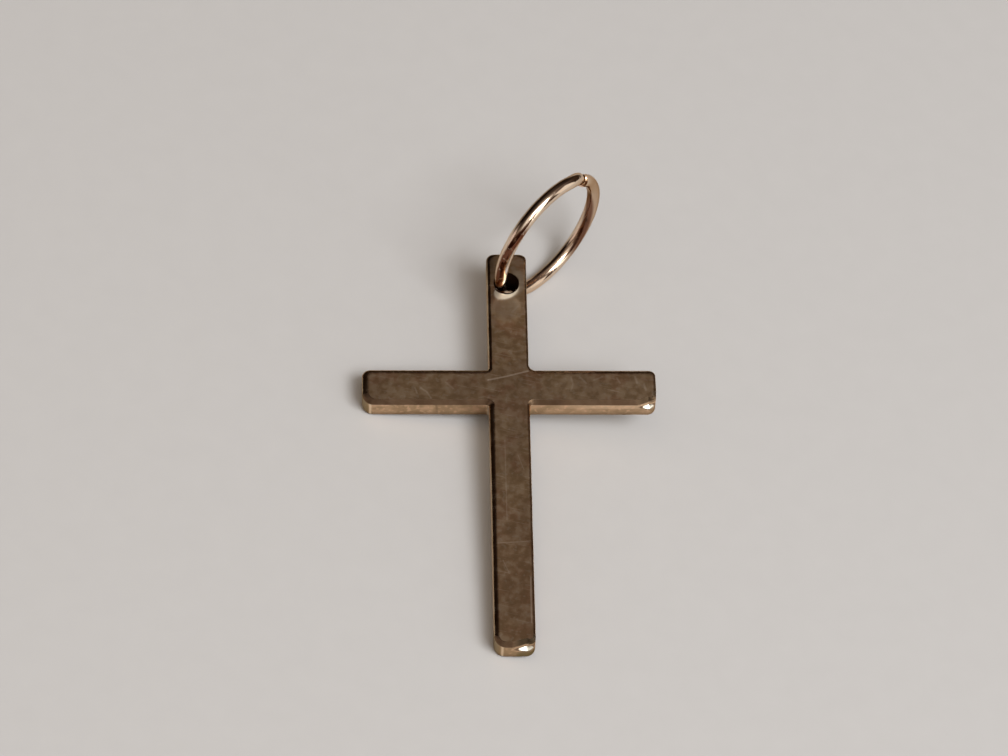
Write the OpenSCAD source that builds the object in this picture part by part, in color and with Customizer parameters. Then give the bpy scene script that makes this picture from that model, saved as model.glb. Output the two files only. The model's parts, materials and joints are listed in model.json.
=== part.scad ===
// A small flat gold cross that hangs on a round jump ring, lying on a table.
// Millimetres, +Z up, the table at Z = 0. The foot of the post points to -Y.
// The cross rests on its foot, on the tip of its left arm and on the ring under its top.

/* [Cross] */
// Length of the post, from its top to its foot
post_length = 19; // [14:0.1:30]
// Width over both arms, from tip to tip
arm_span = 12.1; // [8:0.1:18]
// Width of the post and of the arms
bar_width = 1.66; // [1.4:0.02:2.4]
// Thickness of the plate that the cross is cut from
plate_thickness = 1; // [0.7:0.05:1.3]
// Distance from the top of the post down to the middle of the arms
arm_drop = 6.65; // [5:0.05:8]
// Rounding of the edge round the front face
front_round = 0.25; // [0.1:0.01:0.3]
// Rounding of the edge round the back face
back_round = 0.14; // [0.05:0.01:0.2]
// Rounding of the outer corners, seen from the front
corner_round = 0.3; // [0.1:0.01:0.5]
// Rounding where the post and the arms meet, seen from the front
inner_round = 0.18; // [0.05:0.01:0.5]

/* [Hole] */
// Distance from the top of the post down to the middle of the hole
hole_drop = 1.48; // [1.1:0.02:2.4]
// Room that the hole leaves round the wire of the ring
hole_room = 0.5; // [0.3:0.02:0.6]
// Width of the worn bevel round both mouths of the hole
hole_bevel = 0.1; // [0.04:0.01:0.12]

/* [Jump ring] */
// Outer diameter of the ring
ring_outer_diameter = 6.25; // [5:0.05:9]
// Diameter of the ring's round wire
wire_diameter = 0.54; // [0.4:0.02:0.7]
// Gap between the two wire ends at the seam
seam_gap = 0.05; // [0.03:0.01:0.15]
// Place of the seam round the ring, in degrees above the side away from the hole
seam_place = 48; // [0:1:90]

/* [How it lies] */
// Turn of the ring about the hole, in degrees from the right arm towards the top
ring_turn = 46; // [30:1:60]
// Play left where the leaning wire bears on the two mouths of the hole
bearing_play = 0.04; // [0.03:0.01:0.1]
// Distance of the wire from the middle of the hole, along the axis of the ring
wire_offset = 0.04; // [0:0.01:0.06]

/* [Hidden] */
$fn = 96;
overlap = 1;
settling_steps = 8;

// Sizes of the cross, measured from the middle of the arms on the back face
foot_drop = post_length - arm_drop;
hole_diameter = wire_diameter + hole_room;
hole_middle = [0, arm_drop - hole_drop, plate_thickness / 2];

// Directions of the ring over the plate: away from the hole, and along its axis
away = [cos(ring_turn), sin(ring_turn), 0];
ring_axis = [sin(ring_turn), -cos(ring_turn), 0];

// The wire leans in the hole until the outside of the ring bears on the front mouth
// and its inside on the back mouth, so the ring's middle is where two circles round them cross
wire_radius = wire_diameter / 2;
ring_radius = ring_outer_diameter / 2 - wire_radius;
bearing_width = hole_diameter - bearing_play;
bearing_depth = plate_thickness - 2 * hole_bevel;
mouth_to_mouth = norm([bearing_width, bearing_depth]);
middle_along = (4 * ring_radius * wire_radius + pow(mouth_to_mouth, 2)) / (2 * mouth_to_mouth);
middle_aside = sqrt(pow(ring_radius + wire_radius, 2) - pow(middle_along, 2));
ring_reach = (middle_along * bearing_width + middle_aside * bearing_depth) / mouth_to_mouth - bearing_width / 2;
ring_rise = (middle_aside * bearing_width - middle_along * bearing_depth) / mouth_to_mouth + bearing_depth / 2;
ring_middle = hole_middle + ring_reach * away + [0, 0, ring_rise] - wire_offset * ring_axis;
seam_angle = seam_gap / ring_radius * 180 / PI;

// The three places that touch the table, each found for a given upward direction
foot_round_middle = [back_round - bar_width / 2, back_round - foot_drop, back_round];
arm_round_middle = [back_round - arm_span / 2, back_round - bar_width / 2, back_round];

function unit(v) = v / norm(v);
function along_ring(v) = v - (v * ring_axis) * ring_axis;
function foot_contact(up) = foot_round_middle - back_round * up;
function arm_contact(up) = arm_round_middle - back_round * up;
function ring_contact(up) = ring_middle - ring_radius * unit(along_ring(up)) - wire_radius * up;
function level_through(foot, ring, arm) = unit(cross(ring - foot, arm - foot));
function settle(up, steps) =
    steps == 0 ? up : settle(level_through(foot_contact(up), ring_contact(up), arm_contact(up)), steps - 1);

// The table's upward direction as the plate sees it, and the turns that make it +Z
up = settle([0, 0, 1], settling_steps);
pitch = asin(up[1]);
roll = atan2(-up[0], up[2]);
to_right = [cos(roll), 0, sin(roll)];
to_top = [sin(pitch) * sin(roll), cos(pitch), -sin(pitch) * cos(roll)];

// How far each piece reaches along a direction
function rounding_on(rise) = rise > 0 ? front_round : back_round;
function level_on(rise) = rise > 0 ? plate_thickness - front_round : back_round;
function bar_reach(half, sideways, along, rise) =
    (half - rounding_on(rise)) * along + (bar_width / 2 - corner_round) * abs(sideways)
    + rise * level_on(rise) + rounding_on(rise);
function ring_reach_along(v) = ring_middle * v + ring_radius * norm(along_ring(v)) + wire_radius;

right_side = max(bar_reach(arm_span / 2, to_right[1], to_right[0], to_right[2]), ring_reach_along(to_right));
left_side = -bar_reach(arm_span / 2, to_right[1], to_right[0], -to_right[2]);
top_side = max(bar_reach(arm_drop, to_top[0], to_top[1], to_top[2]), ring_reach_along(to_top));
foot_side = -bar_reach(foot_drop, to_top[0], to_top[1], -to_top[2]);
table_level = foot_contact(up) * up;

// Lays what is modelled on the back face down on the table, centred over the origin
module laid_down() {
    translate([-(left_side + right_side) / 2, -(foot_side + top_side) / 2, -table_level])
        rotate([pitch, 0, 0])
            rotate([0, roll, 0])
                children();
}

// A flat rectangle from the origin, its two lower corners rounded by low and its two upper ones by high
module rounded_rectangle(width, height, low, high) {
    translate([low, 0])
        square([width - 2 * low, height / 2]);
    translate([high, height / 2])
        square([width - 2 * high, height / 2]);
    translate([0, low])
        square([width, height - low - high]);
    for (x = [low, width - low])
        translate([x, low])
            circle(r = low);
    for (x = [high, width - high])
        translate([x, height - high])
            circle(r = high);
}

// One bar along Y with rounded corners and a rounded edge round both faces
module bar(length) {
    translate([-bar_width / 2, 0, 0])
        intersection() {
            translate([0, length, 0])
                rotate([90, 0, 0])
                    linear_extrude(length)
                        rounded_rectangle(bar_width, plate_thickness, back_round, front_round);
            rotate([90, 0, 90])
                linear_extrude(bar_width)
                    rounded_rectangle(length, plate_thickness, back_round, front_round);
            linear_extrude(plate_thickness)
                rounded_rectangle(bar_width, length, corner_round, corner_round);
        }
}

// The small rounded web in one inner corner, with the same edge rounding as the bars
module inner_web() {
    web_middle = bar_width / 2 + inner_round;
    web_side = inner_round + max(front_round, back_round);
    intersection() {
        translate([web_middle - web_side, web_middle - web_side, 0])
            cube([web_side, web_side, plate_thickness]);
        translate([web_middle, web_middle, 0])
            rotate_extrude()
                translate([inner_round, 0])
                    rounded_rectangle(2 * web_side, plate_thickness, back_round, front_round);
    }
}

// The hole for the ring, with a small bevel at both mouths
module ring_hole() {
    mouth_radius = hole_diameter / 2 + hole_bevel;
    translate([0, hole_middle[1], 0]) {
        translate([0, 0, -overlap])
            cylinder(h = plate_thickness + 2 * overlap, d = hole_diameter);
        translate([0, 0, -overlap])
            cylinder(h = overlap + hole_bevel, r1 = mouth_radius + overlap, r2 = hole_diameter / 2);
        translate([0, 0, plate_thickness - hole_bevel])
            cylinder(h = overlap + hole_bevel, r1 = hole_diameter / 2, r2 = mouth_radius + overlap);
    }
}

// The flat cross: post, arms and the four inner corners in one piece, drilled near the top
module cross() {
    color("#8f7350")
        laid_down()
            difference() {
                union() {
                    translate([0, -foot_drop, 0])
                        bar(post_length);
                    rotate([0, 0, 90])
                        translate([0, -arm_span / 2, 0])
                            bar(arm_span);
                    for (quarter = [0:3])
                        rotate([0, 0, 90 * quarter])
                            inner_web();
                }
                ring_hole();
            }
}

// The jump ring: one length of round wire, bent round until its two ends almost meet
module jump_ring() {
    color("#cfa67c")
        laid_down()
            translate(ring_middle)
                rotate([90, 0, ring_turn])
                    rotate([0, 0, seam_place + seam_angle / 2])
                        rotate_extrude(angle = 360 - seam_angle)
                            translate([ring_radius, 0])
                                circle(r = wire_radius);
}

cross();
jump_ring();
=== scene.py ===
import json
import math

import bmesh
import bpy
import numpy as np
from mathutils import Matrix, Vector, geometry, noise


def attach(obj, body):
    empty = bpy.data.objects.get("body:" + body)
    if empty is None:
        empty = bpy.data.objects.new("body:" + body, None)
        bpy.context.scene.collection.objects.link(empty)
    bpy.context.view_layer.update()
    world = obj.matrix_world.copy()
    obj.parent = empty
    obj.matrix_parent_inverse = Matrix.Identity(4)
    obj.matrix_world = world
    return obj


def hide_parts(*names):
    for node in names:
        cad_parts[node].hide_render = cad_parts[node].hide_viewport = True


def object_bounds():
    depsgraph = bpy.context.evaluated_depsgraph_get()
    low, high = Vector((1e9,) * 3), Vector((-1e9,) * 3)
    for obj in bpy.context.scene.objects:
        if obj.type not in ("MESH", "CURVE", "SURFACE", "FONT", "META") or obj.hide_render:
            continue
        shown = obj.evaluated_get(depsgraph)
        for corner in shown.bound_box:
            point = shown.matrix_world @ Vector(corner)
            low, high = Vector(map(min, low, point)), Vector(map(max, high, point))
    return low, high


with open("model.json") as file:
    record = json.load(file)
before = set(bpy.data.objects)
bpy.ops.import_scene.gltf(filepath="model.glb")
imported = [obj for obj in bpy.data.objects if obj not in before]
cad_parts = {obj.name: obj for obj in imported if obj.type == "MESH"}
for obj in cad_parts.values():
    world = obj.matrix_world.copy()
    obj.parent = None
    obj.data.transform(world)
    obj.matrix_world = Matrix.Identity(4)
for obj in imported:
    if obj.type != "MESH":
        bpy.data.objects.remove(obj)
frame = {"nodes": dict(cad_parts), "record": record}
cad_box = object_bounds()
scene = bpy.context.scene
MM = 0.001


# The table, the room's light and the camera.
# The pendant lies on a pale matt table top, in a dim room with one broad soft light in front of it
# and to its right, and it is seen from close above its foot. Its gold mirrors that room.
class Reading:
    """A value read at each point of a surface. Sums on it are written as plain expressions."""

    def __init__(self, tree, socket=None):
        self.tree, self.socket = tree, socket

    def node(self, kind, settings={}, sockets={}, output=0):
        """Adds a node of any type: first its settings, then the values or links of its sockets."""
        node = self.tree.nodes.new(kind)
        for name, value in settings.items():
            if name == "stops":
                while len(node.color_ramp.elements) < len(value):
                    node.color_ramp.elements.new(1.0)
                for stop, (place, colour) in zip(node.color_ramp.elements, value):
                    stop.position, stop.color = place, (*colour, 1.0)
            else:
                setattr(node, name, value)
        for name, value in sockets.items():
            if isinstance(value, Reading):
                self.tree.links.new(value.socket, node.inputs[name])
            else:
                node.inputs[name].default_value = value
        return Reading(self.tree, node.outputs[output]) if node.outputs else None

    def sum(self, operation, *values):
        return self.node("ShaderNodeMath", {"operation": operation}, dict(enumerate(values)))

    def __add__(self, other):
        return self.sum("ADD", self, other)

    def __radd__(self, other):
        return self.sum("ADD", other, self)

    def __sub__(self, other):
        return self.sum("SUBTRACT", self, other)

    def __rsub__(self, other):
        return self.sum("SUBTRACT", other, self)

    def __mul__(self, other):
        return self.sum("MULTIPLY", self, other)

    def __rmul__(self, other):
        return self.sum("MULTIPLY", other, self)

    def __truediv__(self, other):
        return self.sum("DIVIDE", self, other)

    def __pow__(self, other):
        return self.sum("POWER", self, other)

    def __abs__(self):
        return self.sum("ABSOLUTE", self)

    def least(self, other):
        return self.sum("MINIMUM", self, other)

    def most(self, other):
        return self.sum("MAXIMUM", self, other)

    def rise(self, low, high):
        """0 up to low and 1 from high on, with a smooth step between; a low above high falls instead."""
        down = low > high
        step = self.node("ShaderNodeMapRange", {"interpolation_type": "SMOOTHSTEP"},
                         {"Value": self, "From Min": min(low, high), "From Max": max(low, high)})
        return 1 - step if down else step

    def tint(self, none, full):
        """The first colour where the value is 0 and the second where it is 1."""
        none, full = [c if isinstance(c, Reading) else (*c, 1.0) for c in (none, full)]
        return self.node("ShaderNodeMix", {"data_type": "RGBA"}, {0: self, 6: none, 7: full}, 2)


# The place that the camera looks at, and the camera's own direction from there, in degrees, and distance
aim = Vector((-0.268, 1.903, 1.782)) * MM
camera_azimuth, camera_elevation, camera_roll = -13.602, 52.004, 15.03
camera_distance = 205.489 * MM
camera_lens = 178.571


def way_to(azimuth, elevation):
    """The direction with that azimuth, 0 in front of the foot and 90 to its right, and that elevation."""
    a, e = math.radians(azimuth), math.radians(elevation)
    return Vector((math.sin(a) * math.cos(e), -math.cos(a) * math.cos(e), math.sin(e)))


to_camera = way_to(camera_azimuth, camera_elevation)
room = bpy.data.worlds.new("dim_room")
scene.world = room
room.use_nodes = True
room.node_tree.nodes.clear()
air = Reading(room.node_tree)
towards = air.node("ShaderNodeTexCoord", {}, {}, "Generated")
x, y, z = [air.node("ShaderNodeSeparateXYZ", {}, {"Vector": towards}, axis) for axis in "XYZ"]
# The room behind the pendant and in front of it, from the horizon at 0 to straight above at 1
behind = air.node("ShaderNodeValToRGB", {"stops": [
    (0.0, (0.030, 0.016, 0.009)),
    (0.34, (0.042, 0.026, 0.018)),
    (0.64, (0.090, 0.066, 0.058)),
    (0.87, (0.165, 0.128, 0.112)),
    (0.96, (0.230, 0.200, 0.175)),
    (1.0, (0.56, 0.52, 0.47)),
]}, {"Fac": z})
in_front = air.node("ShaderNodeValToRGB", {"stops": [
    (0.0, (0.070, 0.026, 0.012)),
    (0.20, (0.090, 0.044, 0.024)),
    (0.42, (0.150, 0.100, 0.074)),
    (0.64, (0.290, 0.245, 0.215)),
    (0.82, (0.500, 0.470, 0.430)),
    (1.0, (0.600, 0.560, 0.510)),
]}, {"Fac": z})
room_colour = y.rise(-0.66, -0.06).tint(in_front, behind)
# A dark corner behind on the left, and the viewer who bends over the pendant
dark_corner = y.rise(-0.1, 0.3) * x.rise(-0.16, -0.42) * z.rise(0.85, 0.72)
viewer = (to_camera.x * x + to_camera.y * y + to_camera.z * z).rise(0.94, 0.985)
room_colour = (0.85 * dark_corner).most(0.35 * viewer).tint(room_colour, (0.010, 0.005, 0.003))
glow = air.node("ShaderNodeBackground", {}, {"Color": room_colour})
air.node("ShaderNodeOutputWorld", {}, {"Surface": glow})

# Each soft light: its direction, half of the width and of the height that it seems to have from the pendant,
# all in degrees, its brightness and colour, and whether the gold mirrors it
soft_lights = (
    ("window", 38, 54, 17, 13, 9.0, (0.99, 0.99, 1.0), True),
    ("window_glow", 24, 57, 32, 22, 0.55, (0.99, 0.99, 1.0), True),
    ("low_window", 52, 20, 7, 18, 2.0, (0.97, 1.0, 0.96), True),
    ("side_window", 92, 19, 14, 20, 0.80, (1.0, 0.97, 0.93), True),
    ("side_wall", -82, 14, 20, 13, 0.58, (1.0, 0.88, 0.86), True),
    ("bounced_light", -70, 50, 40, 35, 0.42, (1.0, 0.79, 0.56), False),
)
light_distance = 450 * MM
for name, azimuth, elevation, wide, high, brightness, colour, mirrored in soft_lights:
    light = bpy.data.lights.new(name, "AREA")
    light.shape = "RECTANGLE"
    light.size = 2 * light_distance * math.tan(math.radians(wide))
    light.size_y = 2 * light_distance * math.tan(math.radians(high))
    light.color = colour
    light.energy = brightness * math.pi * light.size * light.size_y
    panel = bpy.data.objects.new(name, light)
    panel.location = aim + way_to(azimuth, elevation) * light_distance
    panel.rotation_euler = (aim - panel.location).to_track_quat("-Z", "Y").to_euler()
    panel.visible_glossy = mirrored
    scene.collection.objects.link(panel)

scene.view_settings.view_transform = "Standard"
camera = bpy.data.objects.new("camera", bpy.data.cameras.new("camera"))
camera.data.lens = camera_lens
camera.data.sensor_width = 36.0
camera.data.clip_start = 5 * MM
camera.location = aim + to_camera * camera_distance
level = (aim - camera.location).to_track_quat("-Z", "Y").to_matrix()
camera.rotation_euler = (level @ Matrix.Rotation(math.radians(camera_roll), 3, "Z")).to_euler()
scene.collection.objects.link(camera)
scene.camera = camera

half_table = 1500 * MM
table_level = cad_box[0].z
table_mesh = bpy.data.meshes.new("table_top")
table_mesh.from_pydata([(x * half_table, y * half_table, table_level)
                        for x, y in ((-1, -1), (1, -1), (1, 1), (-1, 1))], [], [(0, 1, 2, 3)])
table_top = bpy.data.objects.new("table_top", table_mesh)
scene.collection.objects.link(table_top)
table_finish = bpy.data.materials.new("pale_matt_top")
table_finish.use_nodes = True
table_finish.node_tree.nodes.clear()
matt = Reading(table_finish.node_tree)
place = matt.node("ShaderNodeTexCoord", {}, {}, "Object")
grain = matt.node("ShaderNodeTexNoise", {}, {"Vector": place, "Scale": 900.0, "Detail": 3.0})
matt_top = matt.node("ShaderNodeBsdfPrincipled", {}, {
    "Base Color": grain.tint((0.525, 0.525, 0.523), (0.548, 0.548, 0.546)),
    "Roughness": 0.9,
    "Specular IOR Level": 0.2,
})
matt.node("ShaderNodeOutputMaterial", {}, {"Surface": matt_top})
table_mesh.materials.append(table_finish)


# The cross.
# One flat piece of yellow gold sheet, 1 mm thick, sawn out, polished and drilled for the ring. Wear has cut
# a narrow slope along its front edge, wider on the left and at the top, and its ends bulge a little.
arm_drop = 6.65
bar_width = 1.66
back_round = 0.14
end_bulge = 0.03
hole_drop = 1.48
hole_diameter = 1.04
point_spacing = 0.1
cross_node = frame["nodes"]["cross"]

# The plate's own axes, from its largest flat side that faces up, and its size along them
side_areas = {}
for side in cross_node.data.polygons:
    facing = tuple(round(c, 3) for c in side.normal)
    if facing[2] > 0.5:
        side_areas.setdefault(facing, []).append((side.area, side.normal.copy()))
flat_side = max(side_areas.values(), key=lambda sides: sum(area for area, _ in sides))
out_of_front = sum((normal * area for area, normal in flat_side), Vector()).normalized()
up_the_post = out_of_front.cross(Vector((1, 0, 0))).normalized()
to_the_right = up_the_post.cross(out_of_front)
plate_turn = Matrix((to_the_right, up_the_post, out_of_front)).transposed()
reach = np.array([v.co for v in cross_node.data.vertices]) @ np.array(plate_turn) / MM
lowest, highest = reach.min(0), reach.max(0)
arm_span, post_length, thickness = highest - lowest
plate_origin = Vector(((lowest[0] + highest[0]) / 2, highest[1] - arm_drop, lowest[2]))
plate_to_table = Matrix.Translation(plate_turn @ plate_origin * MM) @ plate_turn.to_4x4() @ Matrix.Scale(MM, 4)
hole_height = arm_drop - hole_drop
half = bar_width / 2
right, top = arm_span / 2 - end_bulge, arm_drop - end_bulge
foot = arm_drop - post_length + end_bulge

# How far the flat face starts in from each side
left_bevel, right_bevel, upper_bevel, lower_bevel = 0.24, 0.12, 0.27, 0.16

# Each corner, against the clock from the left of the foot: its place, how far in from there the flat face
# starts, across the post and along it, and how round it is on the outline and on the flat face
corners = [
    (-half, foot, left_bevel, lower_bevel, 0.46, 0.22),
    (half, foot, right_bevel, lower_bevel, 0.34, 0.20),
    (half, -half, right_bevel, lower_bevel, 0.16, 0.34),
    (right, -half, 0.15, lower_bevel, 0.32, 0.18),
    (right, half, 0.15, upper_bevel, 0.29, 0.14),
    (half, half, right_bevel, upper_bevel, 0.26, 0.46),
    (half, top, right_bevel, 0.19, 0.30, 0.34),
    (-half, top, 0.18, 0.19, 0.30, 0.34),
    (-half, half, 0.18, upper_bevel, 0.12, 0.30),
    (-right, half, 0.30, upper_bevel, 0.33, 0.20),
    (-right, -half, 0.30, lower_bevel, 0.46, 0.24),
    (-half, -half, left_bevel, lower_bevel, 0.16, 0.34),
]
corner_steps = 12


def loop(turns, roundings, steps):
    """Places along a line with those rounded corners and as many steps between them as asked."""
    places = []
    for i, turn in enumerate(turns):
        j = (i + 1) % len(turns)
        came, goes = (turn - turns[i - 1]).normalized(), (turns[j] - turn).normalized()
        for k in range(corner_steps + 1):
            a = math.radians(90 * k / corner_steps)
            places.append(turn - came * roundings[i] * (1 - math.sin(a)) + goes * roundings[i] * (1 - math.cos(a)))
        start, stop = turn + goes * roundings[i], turns[j] - goes * roundings[j]
        places += [start.lerp(stop, k / steps[i]) for k in range(1, steps[i])]
    return places


outer_turns = [Vector(c[:2]) for c in corners]
face_turns = [Vector((c[0] - math.copysign(c[2], c[0]), c[1] - math.copysign(c[3], c[1]))) for c in corners]
side_steps = [math.ceil((after - turn).length / point_spacing)
              for turn, after in zip(outer_turns, outer_turns[1:] + outer_turns[:1])]
outer_edge = loop(outer_turns, [c[4] for c in corners], side_steps)
face_edge = loop(face_turns, [c[5] for c in corners], side_steps)

# The sawn outline wanders a little, the slope varies in width, and the four ends bulge
wander_reach, width_change, end_zone = 0.006, 0.10, 0.5
for p, q in zip(outer_edge, face_edge):
    wander = wander_reach * Vector((noise.noise(Vector((*p, 1.3)) * 0.8), noise.noise(Vector((*p, 7.7)) * 0.8)))
    uneven = 1 + width_change * noise.noise(Vector((*p, 3.1)) * 0.9)
    q[:] = p + (q - p) * uneven
    for place in (p, q):
        if abs(place.x) > right - end_zone:
            bulge = end_bulge if place.x > 0 else end_bulge / 2
            place.x += math.copysign(bulge * (1 - (place.y / half) ** 2), place.x)
        if abs(place.x) <= half and not foot + end_zone < place.y < top - end_zone:
            place.y += math.copysign(end_bulge * (1 - (place.x / half) ** 2), place.y)
    p += wander
    q += wander
ways = [(outer_edge[(i + 1) % len(outer_edge)] - outer_edge[i - 1]).normalized() for i in range(len(outer_edge))]
outwards = [Vector((w.y, -w.x)) for w in ways]

# The side is worn back above a small ledge near the right corners of the foot and of the right arm: where
# each ledge starts, the length over which it grows to the right, and how far the two edges above it move in
foot_ledge_start, foot_ledge_growth = -0.10, 0.55
arm_ledge_start, arm_ledge_growth = right - 0.75, 0.5
ledge_width, face_shift = 0.20, 0.15
worn_back = []
for p, out in zip(outer_edge, outwards):
    on_foot = (p.x - foot_ledge_start) / foot_ledge_growth if p.y < foot + end_zone else 0.0
    on_arm = (p.x - arm_ledge_start) / arm_ledge_growth if -half - 0.1 < p.y < 0 else 0.0
    worn_back.append(max(0.0, min(1.0, max(on_foot, on_arm))) * max(0.0, -out.y) ** 1.5)
upper_edge = [p - out * ledge_width * worn for p, out, worn in zip(outer_edge, outwards, worn_back)]
face_edge = [q - out * face_shift * worn for q, out, worn in zip(face_edge, outwards, worn_back)]

# The closed lines of the surface, from the flat face over the slope, the side and its ledge to the back.
# Each point has its place, its height and its steepness, 0 on the flat faces and 1 on the sides
face_strip, back_strip = 0.01, 0.03
slope_steps, back_steps = 12, 6
rows = [[(q + (q - p).normalized() * face_strip, thickness, 0.0) for p, q in zip(upper_edge, face_edge)]]
for k in range(slope_steps + 1):
    a = math.radians(90 * k / slope_steps)
    share = math.sin(a) ** (4 / 3)
    row = []
    for p, q, out in zip(upper_edge, face_edge, outwards):
        # The slope is filed straight on the sides that face the foot, and worn round on the others
        filed = max(0.0, -out.y)
        depth = 0.16 + 0.04 * filed - 0.08 * max(0.0, out.x)
        drop = (1 - filed) * (1 - math.cos(a)) + filed * share
        slope = (1 - filed) * 0.75 * math.sin(a) ** (2 / 3) + filed * max(0.01, math.cos(a))
        tilt = math.atan2(depth * slope, max(0.001, math.cos(a)) * (q - p).length)
        row.append((q + (p - q) * share, thickness - depth * drop, math.sin(tilt)))
    rows.append(row)

# Down the side: how far out from the upper edge to the outline, how high, and how much lower where it is worn
side_lines = ((0.0, 0.68, 0.06), (0.10, 0.66, 0.06), (0.22, 0.655, 0.072), (0.78, 0.635, 0.135),
              (0.90, 0.63, 0.147), (1.0, 0.60, 0.147), (1.0, 0.35, 0.0))
for out_share, level, lower in side_lines:
    less_steep = 0.4 if 0 < out_share < 1 else 0.0
    rows.append([(u.lerp(p, out_share), level - lower * worn, 1 - less_steep * min(1.0, 1.5 * worn))
                 for u, p, worn in zip(upper_edge, outer_edge, worn_back)])
for k in range(back_steps + 1):
    a = math.radians(90 - 90 * k / back_steps)
    rows.append([(p - out * back_round * (1 - math.sin(a)), back_round * (1 - math.cos(a)), math.sin(a))
                 for p, out in zip(outer_edge, outwards)])
rows.append([(p - out * (back_round + back_strip), 0.0, 0.0) for p, out in zip(outer_edge, outwards)])

# The lines from the face into the hole, which is worn a hair to the left and down. Below it the ring has pushed
# up a lip, painted pale as a painted highlight, highest at lip_place and falling off over lip_left and lip_right, in
# degrees round the hole
hole_middle = Vector((-0.01, hole_height - 0.03))
hole_radius = hole_diameter / 2 + 0.005
hole_steps = 96
lip_place, lip_left, lip_right = -112, 36, 100
lip_width, plain_width, lip_height = 0.50, 0.03, 0.060
front_mouth, back_mouth = 0.05, 0.1
spokes = []
for k in range(hole_steps):
    a = math.tau * k / hole_steps
    way = Vector((math.cos(a), -math.sin(a)))
    from_lip = (math.degrees(math.atan2(way.y, way.x)) - lip_place + 180) % 360 - 180
    pushed = max(0.0, 1 - (from_lip / lip_left) ** 2) if from_lip < 0 else max(0.0, 1 - from_lip / lip_right)
    wide = plain_width + (lip_width - plain_width) * pushed
    line = [(wide + 0.015, thickness, 0.0)]
    for share in (1, 0.85, 0.7, 0.55, 0.4, 0.28, 0.18, 0.1, 0.04, 0):
        lift = lip_height * pushed * (1 - share) ** 1.5
        drop = front_mouth * max(0.0, 1 - share / 0.3) ** 2
        line.append((wide * share, thickness + lift - drop, 0.0))
    line += [(0, thickness - 0.09, 1.0), (0, 0.66, 1.0), (0, 0.38, 1.0)]
    line += [(back_mouth * (1 - math.sin(b)), back_mouth * (1 - math.cos(b)), math.sin(b))
             for b in (1.57, 1.05, 0.52, 0.0)]
    spokes.append([(hole_middle + way * (hole_radius + beyond), level, steep) for beyond, level, steep in line])
hole_rows = list(zip(*spokes))

wave_depth, ripple_depth = 0.0030, 0.0011


def hollows(x, y, seed):
    """How far the worn face lies under the flat sheet: broad soft waves and small ripples."""
    waves = wave_depth * (1 + noise.noise(Vector((x * 0.35, y * 0.35, seed))))
    ripples = ripple_depth * (1 + noise.noise(Vector((x * 1.4, y * 1.4, seed + 5))))
    return waves + ripples


points, steepness, sides = [], [], []


def wrap(rows):
    """Adds the surface through those closed lines, and gives the numbers of its first and last line."""
    first, count = len(points), len(rows[0])
    for row in rows:
        for place, level, steep in row:
            points.append(Vector((*place, level)))
            steepness.append(steep)
    for k in range(len(rows) - 1):
        here, below = first + k * count, first + (k + 1) * count
        sides.extend((here + i, below + i, below + (i + 1) % count, here + (i + 1) % count) for i in range(count))
    return list(range(first, first + count)), list(range(len(points) - count, len(points)))


def within(rim, places):
    """Which places lie inside that closed line."""
    inside = np.zeros(len(places), bool)
    for (x0, y0), (x1, y1) in zip(rim, np.roll(rim, -1, 0)):
        if y0 != y1:
            crossed = (y0 > places[:, 1]) != (y1 > places[:, 1])
            inside ^= crossed & (places[:, 0] < x0 + (places[:, 1] - y0) / (y1 - y0) * (x1 - x0))
    return inside


# Both flat faces are filled with almost evenly spaced points between the outline and the hole
outer_lines, hole_lines = wrap(rows), wrap(hole_rows)
unevenness, rim_distance = 0.3 * point_spacing, 0.05
for face, level in ((0, thickness), (1, 0.0)):
    lines = [outer_lines[face], hole_lines[face]]
    rims = [np.array([points[i].xy for i in line]) for line in lines]
    grid = np.array([(x + unevenness * math.sin(7.1 * i + 3.3 * j), y + unevenness * math.sin(5.3 * i - 8.9 * j))
                     for i, x in enumerate(np.arange(-arm_span / 2, arm_span / 2, point_spacing))
                     for j, y in enumerate(np.arange(arm_drop - post_length, arm_drop, point_spacing))])
    grid = grid[within(rims[0], grid) & ~within(rims[1], grid)]
    rim_points = np.concatenate(rims)
    grid = np.array([g for g in grid if np.hypot(*(rim_points - g).T).min() > rim_distance])
    flat_points = [Vector(p) for p in rim_points] + [Vector(g) for g in grid]
    edges, start = [], 0
    for line in lines:
        edges += [(start + i, start + (i + 1) % len(line)) for i in range(len(line))]
        start += len(line)
    found, _, triangles, came_from, _, _ = geometry.delaunay_2d_cdt(flat_points, edges, [], 0, 1e-7)
    known = lines[0] + lines[1]
    names = []
    for place, sources in zip(found, came_from):
        if sources and sources[0] < len(known):
            names.append(known[sources[0]])
        else:
            names.append(len(points))
            points.append(Vector((place.x, place.y, level)))
            steepness.append(0.0)
    middles = np.array([sum((found[i] for i in t), Vector((0, 0))) / 3 for t in triangles])
    kept = within(rims[0], middles) & ~within(rims[1], middles)
    sides += [tuple(names[i] for i in t) for t, k in zip(triangles, kept) if k]

# Wear hollows the two faces, and less and less the sides between them
for p in points:
    share = min(1.0, p.z / thickness)
    if share > 0.5:
        p.z -= hollows(p.x, p.y, 11.0) * (2 * share - 1)
    else:
        p.z += hollows(p.x, p.y, 23.0) * (1 - 2 * share)

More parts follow.
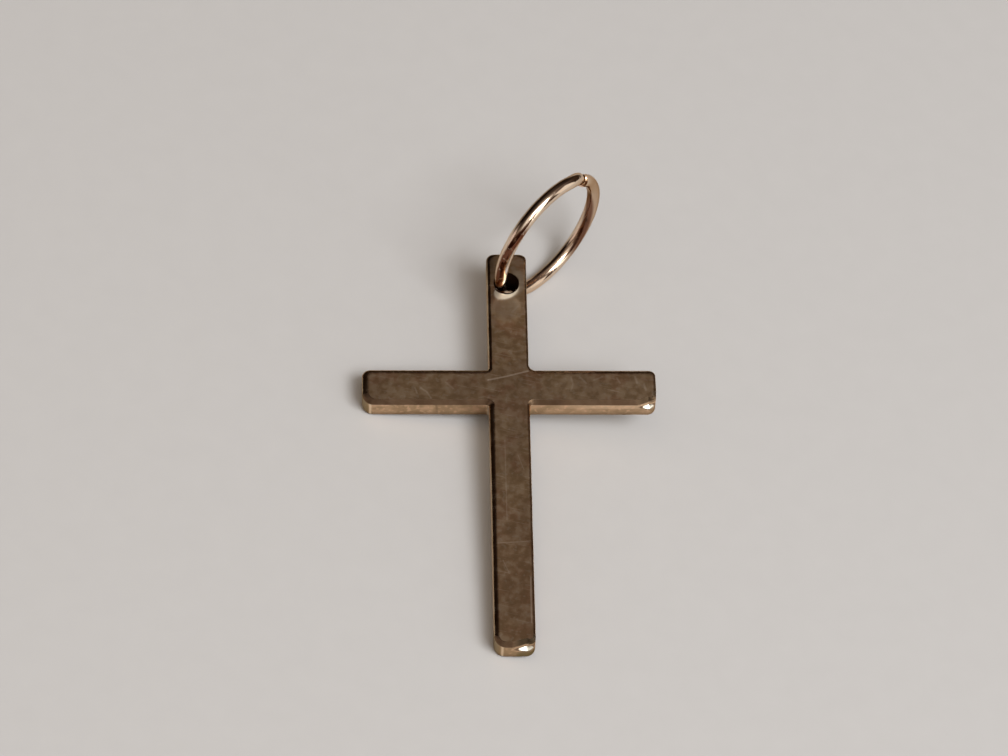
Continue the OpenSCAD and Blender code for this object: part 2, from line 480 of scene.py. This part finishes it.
cross_mesh = bpy.data.meshes.new("gold_cross")
cross_mesh.from_pydata([plate_to_table @ p for p in points], [], sides)
cross_mesh.attributes.new("steepness", "FLOAT", "POINT").data.foreach_set("value", steepness)
shell = bmesh.new()
shell.from_mesh(cross_mesh)
bmesh.ops.recalc_face_normals(shell, faces=shell.faces)
shell.to_mesh(cross_mesh)
shell.free()
for name, way in (("sideways", to_the_right), ("lengthways", up_the_post)):
    leanings = [v.normal @ way for v in cross_mesh.vertices]
    cross_mesh.attributes.new(name, "FLOAT", "POINT").data.foreach_set("value", leanings)
cross_mesh.polygons.foreach_set("use_smooth", [True] * len(cross_mesh.polygons))
gold_cross = bpy.data.objects.new("gold_cross", cross_mesh)
scene.collection.objects.link(gold_cross)

# Worn yellow gold: olive and reddish patches, soft mottling, fine scratches, painted shade in the corners and the
# hole, which also has dirt, and painted highlights
cross_gold = bpy.data.materials.new("worn_yellow_gold")
cross_gold.use_nodes = True
cross_gold.node_tree.nodes.clear()
gold = Reading(cross_gold.node_tree)
place = gold.node("ShaderNodeTexCoord", {}, {}, "Object")
plate = gold.node("ShaderNodeMapping", {}, {
    "Vector": place,
    "Location": -plate_origin,
    "Rotation": plate_turn.transposed().to_euler(),
    "Scale": (1 / MM,) * 3,
})
x, y, z = [gold.node("ShaderNodeSeparateXYZ", {}, {"Vector": plate}, axis) for axis in "XYZ"]


def cloud(read, place, size, stretch=(1, 1, 1), turn=0.0, shift=(0, 0, 0), detail=2.0):
    """Soft random patches about that many millimetres across, from 0 to 1, stretched and turned about Z."""
    turned = read.node("ShaderNodeMapping", {}, {"Vector": place, "Rotation": (0, 0, math.radians(turn))})
    spread = read.node("ShaderNodeMapping", {}, {
        "Vector": turned, "Location": shift, "Scale": tuple(1 / (size * s) for s in stretch)})
    return read.node("ShaderNodeTexNoise", {}, {"Vector": spread, "Scale": 1.0, "Detail": detail})


def strokes(read, place, turn, width, length, share, shift):
    """Sparse straight scratches that run one way: 1 in their middle, 0 outside them."""
    lines = cloud(read, place, width, (length / width, 1, length / width), turn, shift, 0.0)
    return lines.rise(share, share + 0.1)


def scratch(x, y, start, stop, wide):
    """1 along a straight scratch between two places and 0 beside it."""
    over, up = stop[0] - start[0], stop[1] - start[1]
    dx, dy = x - start[0], y - start[1]
    share = ((dx * over + dy * up) / (over ** 2 + up ** 2)).most(0.0).least(1.0)
    dx, dy = dx - share * over, dy - share * up
    return ((dx * dx + dy * dy) ** 0.5).rise(wide, 0.3 * wide)


# Where on the cross: how steep the surface is, and how far it looks to the right and up the post
steep, sideways, lengthways = [gold.node("ShaderNodeAttribute", {"attribute_name": name}, {}, "Fac")
                               for name in ("steepness", "sideways", "lengthways")]
wall = steep.rise(0.80, 0.97)
on_edge = steep.rise(0.06, 0.35) - wall

# The face, from broad to fine: olive and paler gold, paler to the right, reddish patches and a redder foot,
# then light and dark mottling and small pale spots
patches = cloud(gold, plate, 1.5, (1, 1.4, 1), shift=(3, 1, 7))
reddish = cloud(gold, plate, 0.8, shift=(8, 4, 2), detail=1.0)
mottle = cloud(gold, plate, 0.30, shift=(5, 9, 2))
spots = cloud(gold, plate, 0.20, shift=(2, 7, 5), detail=1.0)
fine = cloud(gold, plate, 0.09, shift=(1, 4, 8))
colour = patches.rise(0.40, 0.60).tint((0.475, 0.340, 0.208), (0.456, 0.318, 0.184))
colour = (0.45 * x.rise(1.2, 3.2)).tint(colour, (0.56, 0.42, 0.27))
colour = (0.7 * reddish.rise(0.50, 0.64)).tint(colour, (0.446, 0.268, 0.160))
colour = (0.5 * y.rise(-3.5, -8.5)).tint(colour, (0.43, 0.265, 0.155))
colour = (0.45 * mottle.rise(0.46, 0.66)).tint(colour, (0.558, 0.440, 0.304))
colour = (0.45 * mottle.rise(0.52, 0.34)).tint(colour, (0.307, 0.208, 0.106))
colour = (0.32 * spots.rise(0.56, 0.68)).tint(colour, (0.595, 0.504, 0.380))

# The larger scratches: where each one starts and stops, its width, and how deep it is next to the deepest
scratches = (
    ((-0.86, 0.27), (-0.03, 0.47), 0.055, 1.0), ((-0.03, 0.47), (0.80, 0.72), 0.055, 1.0),
    ((-0.22, -2.66), (-0.21, -6.50), 0.035, 0.35), ((-0.63, -7.59), (0.66, -7.50), 0.040, 0.45),
    ((-3.86, -0.13), (-3.78, -0.38), 0.055, 0.5), ((-3.62, -0.13), (-3.37, -0.33), 0.055, 0.5),
    ((-3.37, -0.33), (-3.21, -0.62), 0.055, 0.5), ((2.56, 0.43), (2.63, 0.08), 0.055, 0.4),
    ((2.63, 0.08), (2.54, -0.26), 0.055, 0.35), ((2.93, 0.43), (3.17, 0.13), 0.060, 0.45),
    ((3.50, 0.28), (3.84, 0.43), 0.060, 0.4), ((4.45, 0.38), (4.57, 0.14), 0.055, 0.4),
    ((5.20, 0.44), (5.27, 0.14), 0.065, 0.5), ((5.56, 0.09), (5.63, -0.20), 0.065, 0.5),
    ((-2.60, 0.16), (-2.30, -0.14), 0.060, 0.4), ((0.20, 3.65), (0.45, 3.95), 0.060, 0.6),
    ((0.69, -9.20), (0.68, -11.30), 0.045, 0.8), ((0.30, -3.39), (0.53, -4.11), 0.030, 0.4),
    ((-0.41, -8.39), (-0.18, -8.95), 0.035, 0.4),
)
marks = 0.5 * strokes(gold, plate, 14, 0.035, 1.2, 0.70, (2, 5, 1))
for start, stop, wide, depth in scratches:
    marks = marks.most(depth * scratch(x, y, start, stop, wide))
relief = 0.0015 * mottle + 0.0005 * fine - 0.0006 * marks
colour = (0.7 * marks).tint(colour, (0.80, 0.68, 0.54))

# The sides are duller and browner, partly tarnish and partly painted shade, and painted shade darkens them towards
# the back edge. Painted reflection makes the right arm's side brighter and the sides that look left paler, and the
# lower side of the left arm has three dark nicks
grime = cloud(gold, plate, 0.45, (1.3, 1.3, 1), shift=(9, 3, 1))
side_colour = grime.rise(0.34, 0.66).tint((0.47, 0.325, 0.195), (0.69, 0.475, 0.305))
side_colour = (0.4 * spots.rise(0.54, 0.68)).tint(side_colour, (0.95, 0.66, 0.44))
# painted shade: darker towards the back edge, where the sides mirror the shaded table
side_colour = (0.6 * z.rise(0.42, 0.10)).tint(side_colour, (0.22, 0.145, 0.085))
# painted reflection: the right arm's side is painted brighter near its top
side_colour = (0.5 * x.rise(1.0, 3.5) * z.rise(0.45, 0.60)).tint(side_colour, (0.95, 0.70, 0.48))
# painted reflection: the sides that look left are painted paler
side_colour = (0.7 * sideways.rise(-0.5, -0.9)).tint(side_colour, (0.68, 0.60, 0.48))
nicked = 0 * x
for nick, depth in ((-2.93, 0.7), (-4.30, 0.3), (-1.25, 0.3)):
    nicked = nicked.most(depth * abs(x - nick + 0.08 * z).rise(0.06, 0.02) * mottle.rise(0.38, 0.50))
side_colour = (0.55 * nicked).tint(side_colour, (0.20, 0.13, 0.075))

# The left corners of the foot and of the left arm: painted shade where they turn, with a painted highlight line, and
# the side is darker under the foot's ledge
at_corner = y.rise(-11.3, -11.7).most(x.rise(-5.2, -5.6))
# painted shade where the left corners turn
side_colour = (0.65 * at_corner * sideways.rise(-0.30, -0.60)).tint(side_colour, (0.26, 0.195, 0.10))
# painted highlight: a bright line along each left corner
side_colour = (0.7 * at_corner * abs(sideways + 0.30).rise(0.16, 0.04)).tint(side_colour, (0.98, 0.80, 0.58))
below_ledge = z.rise(0.50, 0.42) * x.rise(-0.15, 0.25) * y.rise(-11.9, -12.1)
side_colour = (0.8 * below_ledge).tint(side_colour, (0.20, 0.155, 0.07))
colour = wall.tint(colour, side_colour)

# Painted shade darkens the slopes that face the foot, darkest in a line where they meet the side, and above the
# ledges, which themselves are made smoother and carry a painted highlight
foot_facing_slope = (steep.rise(0.0, 0.05) - wall) * lengthways.rise(-0.04, -0.12)
# painted shade on the slopes that face the foot
colour = (0.9 * foot_facing_slope).tint(colour, (0.175, 0.108, 0.064))
crease_shade = foot_facing_slope * lengthways.rise(-0.68, -0.58) * abs(sideways).rise(0.3, 0.15)
# painted shade: a dark line where the slope meets the side
colour = (0.85 * crease_shade).tint(colour, (0.035, 0.024, 0.015))
above_ledge = (y.rise(-11.70, -11.95) * x.rise(-0.2, 0.3)).most(0.6 * x.rise(5.1, 5.5) * y.rise(-0.15, -0.35))
above_ledge = above_ledge * steep.rise(0.0, 0.05) * z.rise(0.70, 0.78)
# painted shade above the ledges
colour = (0.85 * above_ledge).tint(colour, (0.070, 0.052, 0.030))
smooth_ledge_highlight = steep.rise(0.75, 0.65) * z.rise(thickness - 0.30, thickness - 0.36) * z.rise(0.2, 0.3)
# painted highlight on the ledges
colour = smooth_ledge_highlight.tint(colour, (0.90, 0.86, 0.72))

# The hole is painted dark inside, dirt with painted shade, its lip is painted pale as a painted highlight, the face
# right of it is rubbed, painted shade darkens the corner left of it, and painted shade darkens the face under the
# ring
dx, dy = x - hole_middle.x, y - hole_middle.y
from_hole = (dx * dx + dy * dy) ** 0.5
in_hole = from_hole.rise(0.61, 0.57) * z.rise(thickness - 0.03, thickness - 0.07)
in_hole = in_hole.most(from_hole.rise(0.74, 0.68) * lengthways.rise(0.02, 0.16) * z.rise(0.6, 0.7))
lip = z.rise(thickness - 0.004, thickness + 0.008)
rubbed = from_hole.rise(0.86, 0.66) * dx.rise(0.1, 0.45) * steep.rise(0.2, 0.02)
corner_shade = x.rise(-0.30, -0.62) * y.rise(4.9, 6.2) * z.rise(0.7, 0.8)
# painted shade: the ring's shadow and dark reflection darken the top left corner
colour = (0.75 * corner_shade).tint(colour, (0.13, 0.088, 0.055))
colour = (0.5 * rubbed).tint(colour, (0.75, 0.68, 0.54))
# painted highlight: the lip is painted pale
colour = (0.9 * lip).tint(colour, (0.92, 0.84, 0.68))
# painted shade on the face under the ring
dx, dy = x + 0.03, y - 3.88
under_ring = (1.3 * dx * dx + dy * dy).rise(0.70, 0.10) * (1 - lip)
colour = (0.75 * under_ring).tint(colour, (0.20, 0.14, 0.09))
# painted shade with dirt: the inside of the hole is painted dark
colour = in_hole.tint(colour, (0.035, 0.017, 0.010))

rough = 0.30 + 0.06 * patches.rise(0.4, 0.6) + 0.05 * mottle.rise(0.45, 0.65) + 0.08 * marks
rough = rough - 0.17 * on_edge + 0.14 * wall + 0.25 * foot_facing_slope
rough = rough + 0.22 * lip + 0.28 * under_ring + 0.3 * above_ledge + 0.5 * in_hole - 0.12 * smooth_ledge_highlight
bumpy = gold.node("ShaderNodeBump", {}, {"Height": relief, "Distance": MM})
skin = gold.node("ShaderNodeBsdfPrincipled", {}, {
    "Base Color": colour,
    "Metallic": 1.0,
    "Roughness": rough,
    "Specular Tint": (0.55, 0.45, 0.35, 1.0),
    "Normal": bumpy,
})
gold.node("ShaderNodeOutputMaterial", {}, {"Surface": skin})
cross_mesh.materials.append(cross_gold)
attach(gold_cross, "root")
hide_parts("cross")


# The jump ring.
# One length of round gold wire, a little redder than the cross, bent round with pliers until its two sawn
# ends almost meet, not soldered. It has red-brown stains with painted shade, rims darkened as painted shade and a
# painted highlight where it passes through the hole.
ring_diameter = 6.25
wire_diameter = 0.54
wire_wear = 0.001
ring_radius = (ring_diameter - wire_diameter) / 2
seam_gap = 0.05
seam_place = 48.0
seam_step = 0.13
uneven_bend = 0.02
ring_turn = 46.0

# The wire: an arc that stops short of a full turn, bent a little out of round, its ends a step apart at the seam
wire_tree = bpy.data.node_groups.new("bent_wire", "GeometryNodeTree")
for name, kind in (("Ring radius", "Float"), ("Wire radius", "Float"), ("Seam gap", "Float"), ("Seam place", "Float"),
                   ("Seam step", "Float"), ("Uneven bend", "Float"), ("Finish", "Material")):
    wire_tree.interface.new_socket(name, in_out="INPUT", socket_type="NodeSocket" + kind)
wire_tree.interface.new_socket("Wire", in_out="OUTPUT", socket_type="NodeSocketGeometry")
bend = Reading(wire_tree)
given = wire_tree.nodes.new("NodeGroupInput")
asked = {s.name: Reading(wire_tree, s) for s in given.outputs if s.name}
gap_angle = asked["Seam gap"] / asked["Ring radius"]
arc = bend.node("GeometryNodeCurveArc", {"mode": "RADIUS"}, {
    "Resolution": 512,
    "Radius": asked["Ring radius"],
    "Start Angle": asked["Seam place"] + gap_angle / 2,
    "Sweep Angle": math.tau - gap_angle,
})
along = bend.node("GeometryNodeSplineParameter", {}, {}, "Length")
length = asked["Ring radius"] * (math.tau - gap_angle)
from_end = along.least(length - along)
place = bend.node("GeometryNodeInputPosition")
outwards = bend.node("ShaderNodeVectorMath", {"operation": "NORMALIZE"}, {0: place})
unevenness = bend.node("ShaderNodeTexNoise", {}, {"Vector": place, "Scale": 0.55, "Detail": 1.0})
inwards = bend.node("ShaderNodeVectorMath", {"operation": "SCALE"},
                    {0: outwards, "Scale": -1 * asked["Uneven bend"] * unevenness})
which_end = bend.sum("SIGN", along - length / 2)
aside = bend.node("ShaderNodeCombineXYZ", {}, {"Z": which_end * from_end.rise(0.9, 0.0) * asked["Seam step"] / 2})
shifted = bend.node("ShaderNodeVectorMath", {"operation": "ADD"}, {0: inwards, 1: aside})
bent = bend.node("GeometryNodeSetPosition", {}, {"Geometry": arc, "Offset": shifted})
bent = bend.node("GeometryNodeStoreNamedAttribute", {"data_type": "FLOAT", "domain": "POINT"},
                 {"Geometry": bent, "Name": "along_wire", "Value": along})
profile = bend.node("GeometryNodeCurvePrimitiveCircle", {"mode": "RADIUS"},
                    {"Resolution": 40, "Radius": asked["Wire radius"]})
profile = bend.node("GeometryNodeStoreNamedAttribute", {"data_type": "FLOAT_VECTOR", "domain": "POINT"},
                    {"Geometry": profile, "Name": "across_wire", "Value": place})
sawn_end = 1 - 0.10 * from_end.rise(0.06, 0.0)
wire = bend.node("GeometryNodeCurveToMesh", {}, {
    "Curve": bent, "Profile Curve": profile, "Scale": sawn_end, "Fill Caps": True})
wire = bend.node("GeometryNodeSetShadeSmooth", {}, {"Geometry": wire})
wire = bend.node("GeometryNodeRealizeInstances", {}, {"Geometry": wire})
wire = bend.node("GeometryNodeSetMaterial", {}, {"Geometry": wire, "Material": asked["Finish"]})
bend.node("NodeGroupOutput", {}, {"Wire": wire})

# The ring stands on its edge over the plate: its middle is the ring's mount, its plane is turned about the hole
eye = next(m for m in frame["record"]["mounts"] if m["name"] == "ring_eye")
turn = math.radians(ring_turn)
away = plate_turn @ Vector((math.cos(turn), math.sin(turn), 0))
ring_axis = plate_turn @ Vector((math.sin(turn), -math.cos(turn), 0))
ring_turned = Matrix((away, out_of_front, ring_axis)).transposed()

# Polished reddish gold with fine lines along the wire from the drawing plate, and small nicks
ring_gold = bpy.data.materials.new("reddish_gold_wire")
ring_gold.use_nodes = True
ring_gold.node_tree.nodes.clear()
rose = Reading(ring_gold.node_tree)
along = rose.node("ShaderNodeAttribute", {"attribute_name": "along_wire"}, {}, "Fac")
across = rose.node("ShaderNodeAttribute", {"attribute_name": "across_wire"}, {}, "Vector")
x, y = [rose.node("ShaderNodeSeparateXYZ", {}, {"Vector": across}, axis) for axis in "XY"]
wire_place = rose.node("ShaderNodeCombineXYZ", {}, {"X": x, "Y": y, "Z": along})
tarnish = cloud(rose, wire_place, 0.9, (1, 1, 2), shift=(2, 5, 3), detail=3.0)
drawn = cloud(rose, wire_place, 0.05, (1, 1, 30), shift=(4, 1, 6), detail=1.0)
nicks = cloud(rose, wire_place, 0.16, shift=(8, 2, 7), detail=1.0)
place = rose.node("ShaderNodeTexCoord", {}, {}, "Object")
on_ring = rose.node("ShaderNodeMapping", {}, {
    "Vector": place,
    "Location": -(ring_turned.transposed() @ Vector(eye["pos_m"])) / MM,
    "Rotation": ring_turned.transposed().to_euler(),
    "Scale": (1 / MM,) * 3,
})
x, y, z = [rose.node("ShaderNodeSeparateXYZ", {}, {"Vector": on_ring}, axis) for axis in "XYZ"]

# Where on the ring, in degrees: round the ring from its side away from the hole, up first, and round the wire
# from its outer side towards the front of the ring
round_ring = rose.sum("ARCTAN2", y, x) * (180 / math.pi)
round_wire = rose.sum("ARCTAN2", z, (x * x + y * y) ** 0.5 - ring_radius) * (180 / math.pi)

# Red-brown stains with painted shade, one on the front near the hole and one on the inner side away from the hole
from_front = abs(round_wire - 23 - 44 * ((154 - abs(round_ring)) / 27).most(0.0).least(1.0))
front_stain_and_shade = from_front.rise(50, 26) * abs(round_ring).rise(119, 131)
from_back = abs(rose.sum("WRAP", round_wire, 360.0, 0.0) - 180 - 1.2 * round_ring.most(-53.0))
back_stain_and_shade = from_back.rise(54, 22) * round_ring.rise(30, 8) * round_ring.rise(-72, -50)
stain_and_shade = (front_stain_and_shade * (1 - 0.5 * nicks.rise(0.60, 0.72))).most(0.9 * back_stain_and_shade)

# The clean gold, its darker flank, the rims darkened as painted shade, a painted highlight where the hole meets the
# wire, and the stains with painted shade
colour = tarnish.rise(0.35, 0.7).tint((0.88, 0.71, 0.55), (0.84, 0.64, 0.47))
darker_flank = (z / (wire_diameter / 2)).rise(0.35, 0.8) * round_ring.rise(48, 30) * round_ring.rise(-75, -35)
colour = (0.75 * darker_flank).tint(colour, (0.60, 0.43, 0.30))
back_rim = round_wire.rise(-18, -38) * round_wire.rise(-125, -100)
back_rim = back_rim * round_ring.rise(50, 65) * round_ring.rise(138, 122)
# painted shade on the back rim
colour = (0.65 * back_rim).tint(colour, (0.30, 0.20, 0.12))
top_rim = round_wire.rise(18, 8) * round_wire.rise(-44, -24) * round_ring.rise(60, 72) * round_ring.rise(134, 124)
low_rim = abs(round_wire + 155).rise(30, 12) * round_ring.rise(-108, -98) * round_ring.rise(-50, -58)
# painted shade on the top and low rims
colour = (0.8 * top_rim.most(0.85 * low_rim)).tint(colour, (0.15, 0.095, 0.055))
hole_side_highlight = abs(round_ring).rise(160, 168) * round_wire.rise(60, 74) * round_wire.rise(136, 118)
# painted highlight where the wire passes through the hole
colour = (0.9 * hole_side_highlight).tint(colour, (1.0, 0.98, 0.95))
# stains with painted shade: the dark red-brown stands partly for dark reflections
colour = (0.95 * stain_and_shade).tint(colour, (0.135, 0.034, 0.012))
relief = -0.00035 * drawn - 0.0018 * nicks.rise(0.62, 0.74)
rough = 0.10 + 0.08 * tarnish.rise(0.4, 0.7) + 0.10 * nicks.rise(0.55, 0.75)
polished = rose.node("ShaderNodeBump", {}, {"Height": relief, "Distance": MM})
skin = rose.node("ShaderNodeBsdfPrincipled", {}, {
    "Base Color": colour,
    "Metallic": 1.0,
    "Roughness": rough,
    "Specular Tint": (0.62, 0.48, 0.36, 1.0),
    "Normal": polished,
})
rose.node("ShaderNodeOutputMaterial", {}, {"Surface": skin})

jump_ring = bpy.data.objects.new("gold_jump_ring", bpy.data.meshes.new("gold_jump_ring"))
scene.collection.objects.link(jump_ring)
bending = jump_ring.modifiers.new("bent_wire", "NODES")
bending.node_group = wire_tree
wanted = {
    "Ring radius": ring_radius,
    "Wire radius": wire_diameter / 2 - wire_wear,
    "Seam gap": seam_gap,
    "Seam place": math.radians(seam_place),
    "Seam step": seam_step,
    "Uneven bend": uneven_bend,
    "Finish": ring_gold,
}
for socket in wire_tree.interface.items_tree:
    if socket.name in wanted:
        bending[socket.identifier] = wanted[socket.name]
graph = bpy.context.evaluated_depsgraph_get()
bent_ring = jump_ring.evaluated_get(graph)
wire_mesh = bpy.data.meshes.new_from_object(bent_ring, preserve_all_data_layers=True, depsgraph=graph)
wire_mesh.name = "gold_jump_ring"
jump_ring.modifiers.remove(bending)
jump_ring.data = wire_mesh

wire_mesh.transform(Matrix.Translation(Vector(eye["pos_m"])) @ ring_turned.to_4x4() @ Matrix.Scale(MM, 4))
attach(jump_ring, "root")
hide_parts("jump_ring")
